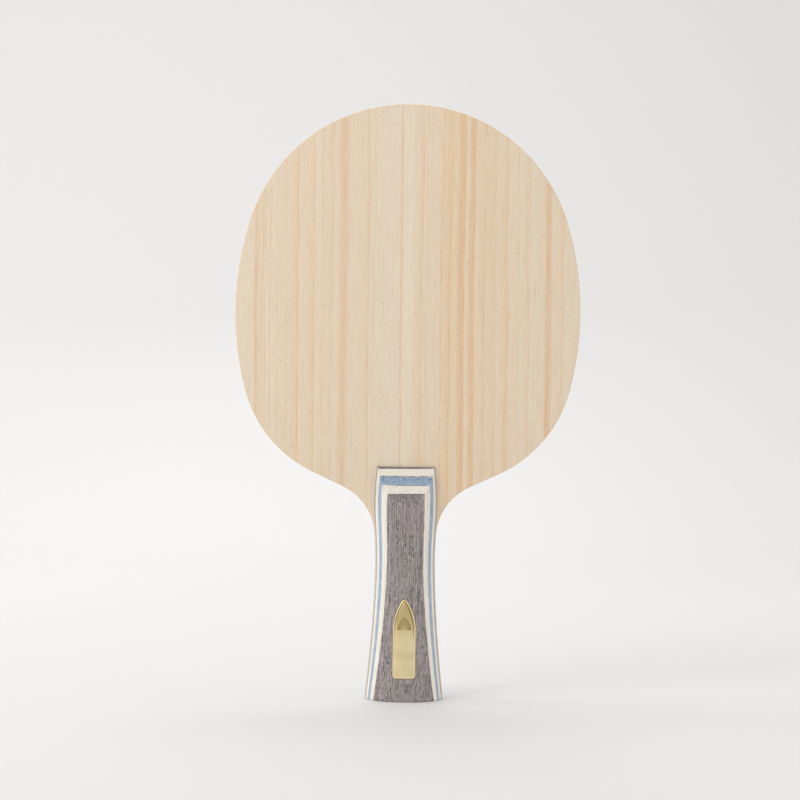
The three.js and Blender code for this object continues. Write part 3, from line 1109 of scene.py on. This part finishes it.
def grey_dyed_veneer(name="grey_dyed_veneer", bleach=0.0):
    """Open-pored wood dyed grey-brown and sanded: streaky, with dark pore dashes. Where the
    dye is sanded through at the side of a thin layer, bleach says how far it pales."""
    colours = bpy.context.scene.finish_colours
    material, tree, shader, place = new_material(name)
    fibres = grain(tree, place, 0.28 * MM, 3.5 * MM, 2.0, 3.0)
    fibre_share = ramp_value(tree, fibres, 0.36, 0.64)
    columns = ramp_value(tree, grain(tree, place, 0.34 * MM, 60 * MM, 1.0, 9.0), 0.40, 0.60)
    share = sums(tree, "MULTIPLY_ADD", fibre_share, 0.5, sums(tree, "MULTIPLY", columns, 0.5))
    shown = blend_colours(tree, share, rgba(colours.grey), rgba(colours.grey_line))
    # Pores are drawn 0.2 mm wide and about 1.5 mm long, a little coarser than they are.
    dashes = ramp_value(tree, grain(tree, place, 0.22 * MM, 1.6 * MM, 0.0, 21.0), 0.57, 0.67)
    lanes = ramp_value(tree, grain(tree, place, 1.3 * MM, 10 * MM, 1.0, 14.0), 0.40, 0.62, 0.15, 1.0)
    pores = sums(tree, "MULTIPLY", dashes, lanes)
    shown = blend_colours(tree, pores, shown, rgba(colours.grey_pore))
    cut = end_grain_share(tree)
    shown = blend_colours(tree, sums(tree, "MULTIPLY", cut, 0.25), shown, rgba(colours.grey_pore))
    grit = grain(tree, place, 0.4 * MM, 0.4 * MM, 0.0, 33.0)
    shown = tinted(tree, shown, ramp_value(tree, grit, 0.3, 0.7, 0.9, 1.1))
    paled = ramp_value(tree, cut, 0.0, 0.5, bleach, 0.0)
    shown = blend_colours(tree, paled, shown, rgba(colours.tang_edge))
    finish(tree, shader, shown, fibres, 0.50, 0.62)
    set_plain(shader, IOR=WOOD_IOR, Specular_IOR_Level=BARE_GLOSS)
    height = sums(tree, "SUBTRACT", sums(tree, "MULTIPLY", fibres, 0.4), pores)
    add_relief(tree, shader, height, 0.08 * MM, 0.7)
    return material


def bleached_veneer():
    """Close-grained wood bleached to cream: even, with faint straight lines."""
    colours = bpy.context.scene.finish_colours
    material, tree, shader, place = new_material("bleached_veneer")
    fibres = grain(tree, place, 0.45 * MM, 14 * MM, 2.0, 30.0)
    share = ramp_value(tree, fibres, 0.42, 0.72, 0.0, 0.75)
    shown = blend_colours(tree, share, rgba(colours.cream), rgba(colours.cream_line))
    specks = ramp_value(tree, grain(tree, place, 0.35 * MM, 1.1 * MM, 0.0, 44.0), 0.68, 0.78, 0.0, 0.45)
    shown = blend_colours(tree, specks, shown, rgba(colours.cream_speck))
    cut = sums(tree, "MULTIPLY", end_grain_share(tree), 0.15)
    shown = blend_colours(tree, cut, shown, rgba(colours.cream_line))
    finish(tree, shader, shown, fibres, 0.50, 0.58)
    set_plain(shader, IOR=WOOD_IOR, Specular_IOR_Level=DYED_GLOSS)
    add_relief(tree, shader, fibres, 0.03 * MM, 0.4)
    return material


def blue_dyed_veneer():
    """Fine-pored wood dyed pale blue: the dye sits darker where the fibres are cut."""
    colours = bpy.context.scene.finish_colours
    material, tree, shader, place = new_material("blue_dyed_veneer")
    fibres = grain(tree, place, 0.35 * MM, 4 * MM, 3.0, 60.0)
    share = ramp_value(tree, fibres, 0.38, 0.66, 0.0, 0.7)
    shown = blend_colours(tree, share, rgba(colours.blue), rgba(colours.blue_line))
    cut = end_grain_share(tree)
    shown = blend_colours(tree, cut, shown, rgba(colours.blue_cut))
    # Cut pores, drawn 0.4 mm across: real ones are half of that.
    mottle = grain(tree, place, 0.40 * MM, 0.40 * MM, 0.0, 71.0)
    dark = sums(tree, "MULTIPLY", ramp_value(tree, mottle, 0.5, 0.62, 0.0, 0.85), cut)
    shown = blend_colours(tree, dark, shown, rgba(colours.blue_pore))
    finish(tree, shader, shown, fibres, 0.50, 0.60)
    set_plain(shader, IOR=WOOD_IOR, Specular_IOR_Level=DYED_GLOSS)
    add_relief(tree, shader, fibres, 0.05 * MM, 0.6)
    return material


def plated_casting():
    """Die-cast zinc plated in pale gold and satin blasted: soft, slightly grainy metal."""
    colours = bpy.context.scene.finish_colours
    material, tree, shader, place = new_material("gold_plated_casting")
    blast = grain(tree, place, 0.25 * MM, 0.25 * MM, 2.0, 5.0)
    cloud = ramp_value(tree, grain(tree, place, 4 * MM, 6 * MM, 1.0, 2.0), 0.3, 0.7, 0.0, 0.1)
    shown = blend_colours(tree, cloud, rgba(colours.gold), rgba(colours.bronze))
    # Painted shade low in the relief, held as a tone on the points: the bronze is blended in there.
    depth = add_node(tree, "ShaderNodeAttribute", {"attribute_name": BADGE_SHADE_ATTRIBUTE}, None, "Fac")
    shown = blend_colours(tree, depth, shown, rgba(colours.bronze))
    finish(tree, shader, shown, blast, 0.32, 0.44)
    set_plain(shader, Metallic=1.0)
    add_relief(tree, shader, blast, 0.01 * MM, 0.5)
    return material


def foam_tape():
    """White acrylic foam tape, which the pocket hides: matt, with fine open cells."""
    colours = bpy.context.scene.finish_colours
    return edge_grained("foam_tape", colours.foam, colours.foam_line, 0.3 * MM, 0.3 * MM, 0.8)


def seamless_paper():
    """Matt uncoated paper from a wide roll: even, with a trace of tooth."""
    colours = bpy.context.scene.finish_colours
    material, tree, shader, place = new_material("seamless_paper")
    tooth = ramp_value(tree, grain(tree, place, 1.5 * MM, 1.5 * MM, 2.0, 0.0), 0.3, 0.7, 0.0, 0.04)
    shown = blend_colours(tree, tooth, rgba(colours.paper), rgba(colours.paper_tooth))
    tree.links.new(shown, shader.inputs["Base Color"])
    set_plain(shader, Roughness=0.9, Specular_IOR_Level=0.2)
    return material


# ---- Stage ----

# The camera, in metres and radians, with its lens and sensor in millimetres.
CAMERA_DISTANCE = 0.8235
CAMERA_HEIGHT = 0.12975
CAMERA_LEFT = 0.003
CAMERA_ROLL = math.radians(-0.67)
LENS = 85
SENSOR = 36

# The paper, in metres: half of its width, its front edge, how far back and how high it
# goes, and the radius of its bend.
PAPER_HALF = 2.5
PAPER_FRONT = -2.5
PAPER_BACK = 1.3
PAPER_TOP = 2.6
PAPER_BEND = 0.7
BEND_STEPS = 24

# Each light: name, place, what it faces, width, height, power in watts.
LIGHTS = (
    ("key_softbox", (-1.15, -0.75, 0.95), (0, 0, 0.12), 0.9, 0.9, 7.3),
    ("side_softbox", (-1.3, 0.25, 0.7), (0, 0.1, 0.12), 0.8, 1.0, 4.9),
    ("right_softbox", (1.3, -0.1, 0.6), (0, 0, 0.1), 0.9, 0.9, 2.7),
    ("top_softbox", (0.0, 0.56, 1.35), (0, 0, 0.05), 0.7, 0.5, 3.2),
    ("back_softbox", (-0.1, 0.85, 0.6), (-0.05, -0.05, 0.0), 0.4, 0.3, 0.8),
    ("wall_softbox", (-0.5, 0.3, 1.6), (-0.25, 1.3, 0.6), 1.4, 0.4, 2.6),
)
WORLD_STRENGTH = 0.81


def roll_out_paper(scene):
    """The seamless backdrop: a floor that bends up into a wall."""
    profile = [(PAPER_FRONT, 0.0)]
    for i in range(BEND_STEPS + 1):
        turn = math.pi / 2 * i / BEND_STEPS
        profile.append((PAPER_BACK - PAPER_BEND + PAPER_BEND * math.sin(turn),
                        PAPER_BEND - PAPER_BEND * math.cos(turn)))
    profile.append((PAPER_BACK, PAPER_TOP))
    points = [(x, y, z) for y, z in profile for x in (-PAPER_HALF, PAPER_HALF)]
    faces = [(i, i + 1, i + 3, i + 2) for i in range(0, 2 * len(profile) - 2, 2)]
    mesh = bpy.data.meshes.new("backdrop")
    mesh.from_pydata(points, [], faces)
    mesh.shade_smooth()
    mesh.materials.append(seamless_paper())
    backdrop = bpy.data.objects.new("backdrop", mesh)
    scene.collection.objects.link(backdrop)


def hang_lights(scene):
    """The softboxes, and the even light of the studio round them."""
    for name, place, aim, width, height, power in LIGHTS:
        lamp = bpy.data.lights.new(name, "AREA")
        lamp.shape = "RECTANGLE"
        lamp.size, lamp.size_y = width, height
        lamp.energy = power
        light = bpy.data.objects.new(name, lamp)
        light.location = place
        light.rotation_euler = (Vector(aim) - Vector(place)).to_track_quat("-Z", "Y").to_euler()
        scene.collection.objects.link(light)
    world = bpy.data.worlds.new("studio")
    world.use_nodes = True
    sky = next(n for n in world.node_tree.nodes if n.type == "BACKGROUND")
    sky.inputs["Color"].default_value = rgba(scene.finish_colours.sky)
    sky.inputs["Strength"].default_value = WORLD_STRENGTH
    scene.world = world


def set_up_camera(scene):
    """The camera, level and square to the blade but for a slight roll."""
    camera_data = bpy.data.cameras.new("camera")
    camera_data.lens = LENS
    camera_data.sensor_width = SENSOR
    camera = bpy.data.objects.new("camera", camera_data)
    camera.location = (-CAMERA_LEFT, -CAMERA_DISTANCE, CAMERA_HEIGHT)
    camera.rotation_euler = (math.pi / 2, CAMERA_ROLL, 0)
    scene.collection.objects.link(camera)
    scene.camera = camera


class BLADE_OT_stage(bpy.types.Operator):
    """Make the seamless backdrop, the lights and the camera"""

    bl_idname = "blade.stage"
    bl_label = "Stage"

    def execute(self, context):
        roll_out_paper(context.scene)
        hang_lights(context.scene)
        set_up_camera(context.scene)
        context.scene.view_settings.view_transform = "Standard"
        return {"FINISHED"}


# ---- The add-on ----

OPERATORS = (BLADE_OT_plies, BLADE_OT_scales, BLADE_OT_badge, BLADE_OT_stage)


class BLADE_PT_panel(bpy.types.Panel):
    """The blade's pieces and settings"""

    bl_idname = "BLADE_PT_panel"
    bl_label = "Table tennis blade"
    bl_space_type = "VIEW_3D"
    bl_region_type = "UI"
    bl_category = "Blade"

    def draw(self, context):
        layout = self.layout
        for operator in OPERATORS:
            layout.operator(operator.bl_idname)
        for name in SETTINGS:
            group = getattr(context.scene, name)
            box = layout.box()
            for key in group.__annotations__:
                box.prop(group, key)


CLASSES = (*SETTINGS.values(), *OPERATORS, BLADE_PT_panel)


def register():
    """Makes the settings, the operators and the panel known to Blender."""
    for kind in CLASSES:
        bpy.utils.register_class(kind)
    for name, group in SETTINGS.items():
        setattr(bpy.types.Scene, name, PointerProperty(type=group))


def unregister():
    """Takes back what register() did."""
    for name in SETTINGS:
        delattr(bpy.types.Scene, name)
    for kind in reversed(CLASSES):
        bpy.utils.unregister_class(kind)


def main():
    """Builds the blade on its stage."""
    register()
    bpy.ops.blade.stage()
    bpy.ops.blade.plies()
    bpy.ops.blade.scales()
    bpy.ops.blade.badge()


if __name__ == "__main__":
    main()
